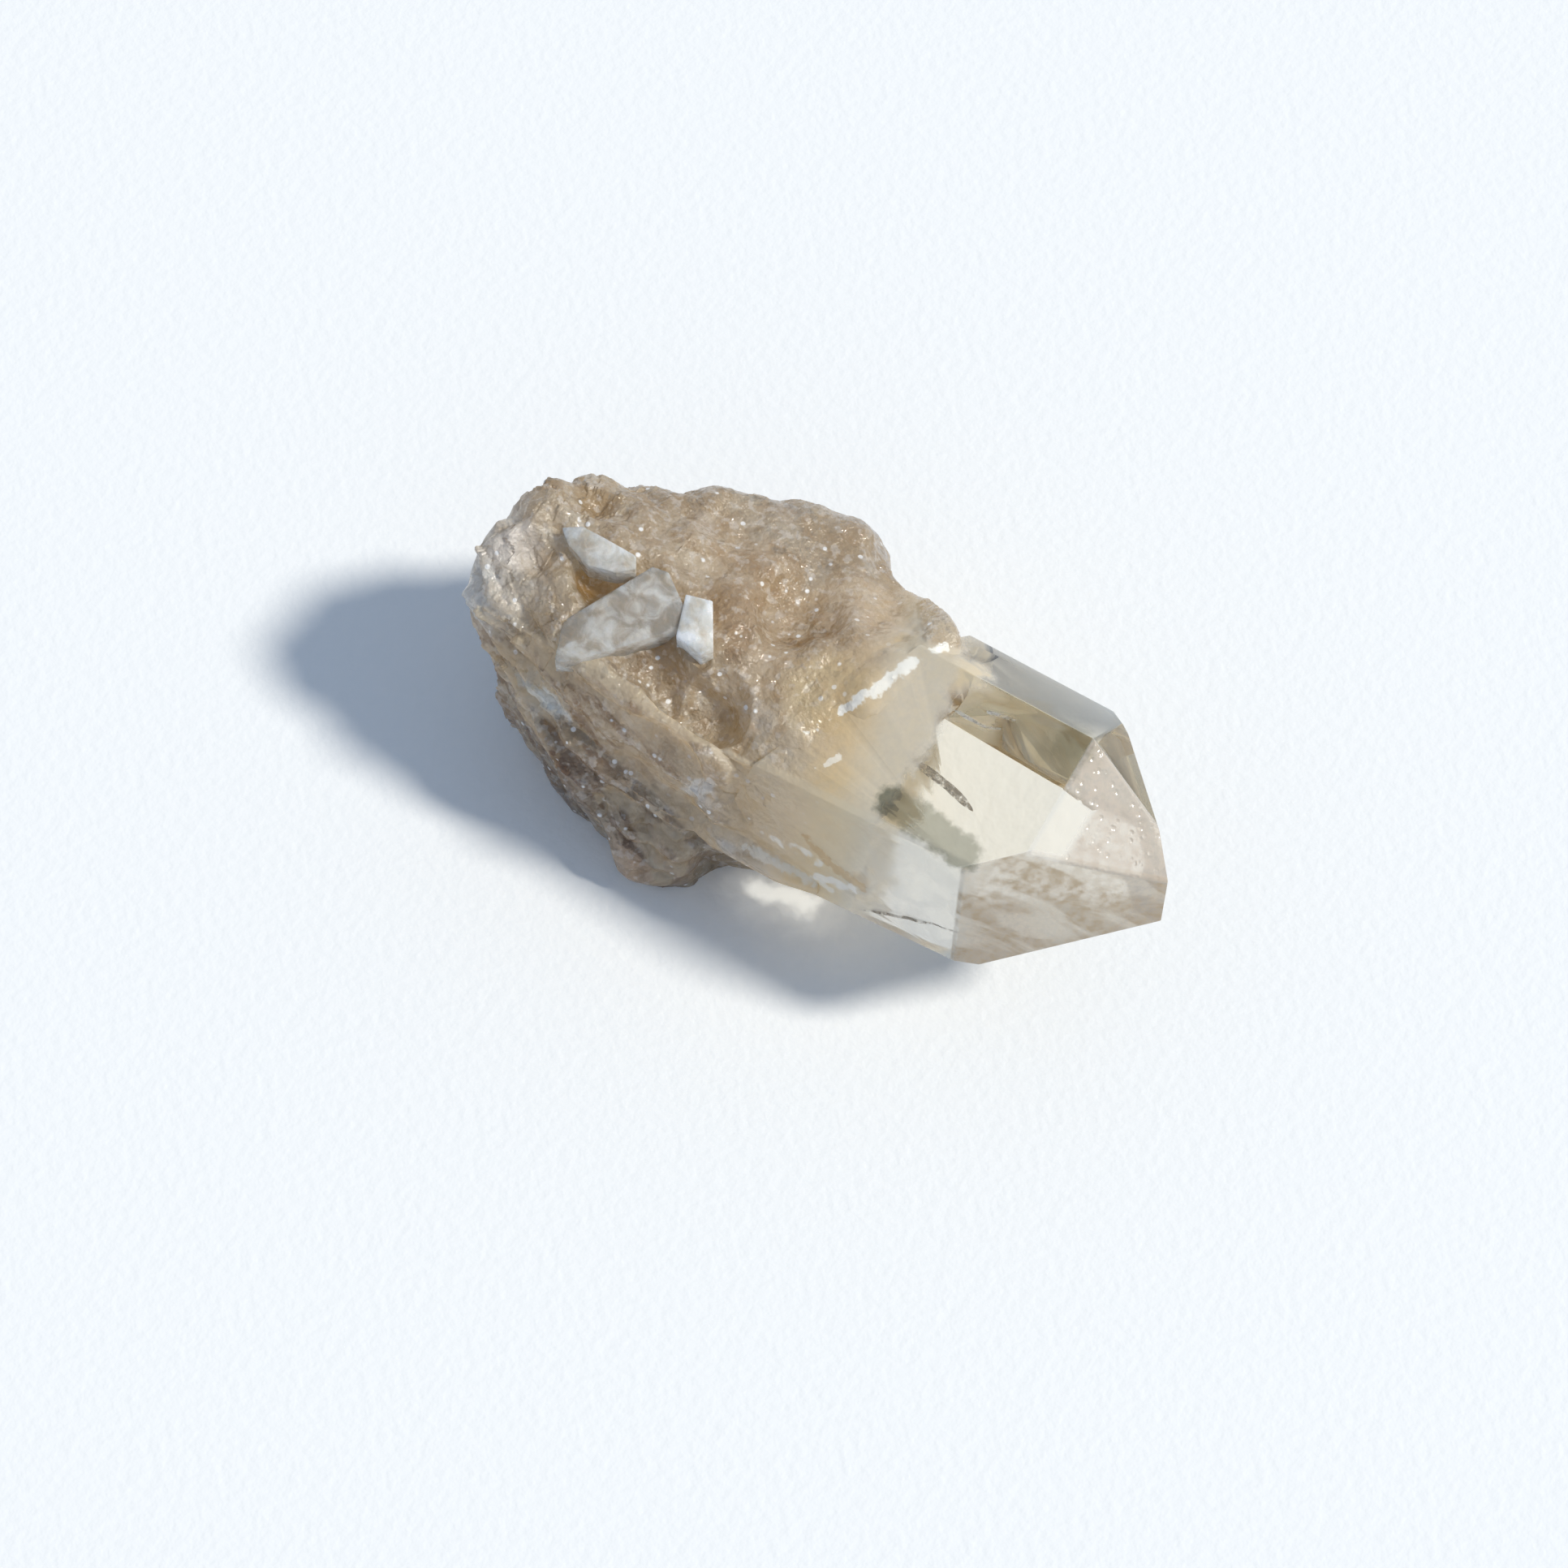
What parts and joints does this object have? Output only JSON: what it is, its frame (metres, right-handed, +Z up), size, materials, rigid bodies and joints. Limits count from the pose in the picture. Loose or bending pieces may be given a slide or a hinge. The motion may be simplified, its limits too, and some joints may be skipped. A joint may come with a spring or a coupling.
{
  "type": "citrine crystal point",
  "caption": "Raw quartz point with a clear six-sided prism and bevelled tip growing out of a lumpy broken base, lying on its side.",
  "frame": {"origin": "On the table under the middle of the object's box, in the plane that it rests on.", "axes": "+X is the long direction, toward the tip. +Z is up as it lies. +Y is the side away from the fluted flank."},
  "size_m": [0.0497, 0.026, 0.0236],
  "materials": {
    "citrine": "clear pale honey quartz with glossy natural faces on the prism, cloudy tan brown and finely broken on the base"
  },
  "bodies": {
    "root": {"crystal": "citrine"}
  },
  "joints": []
}
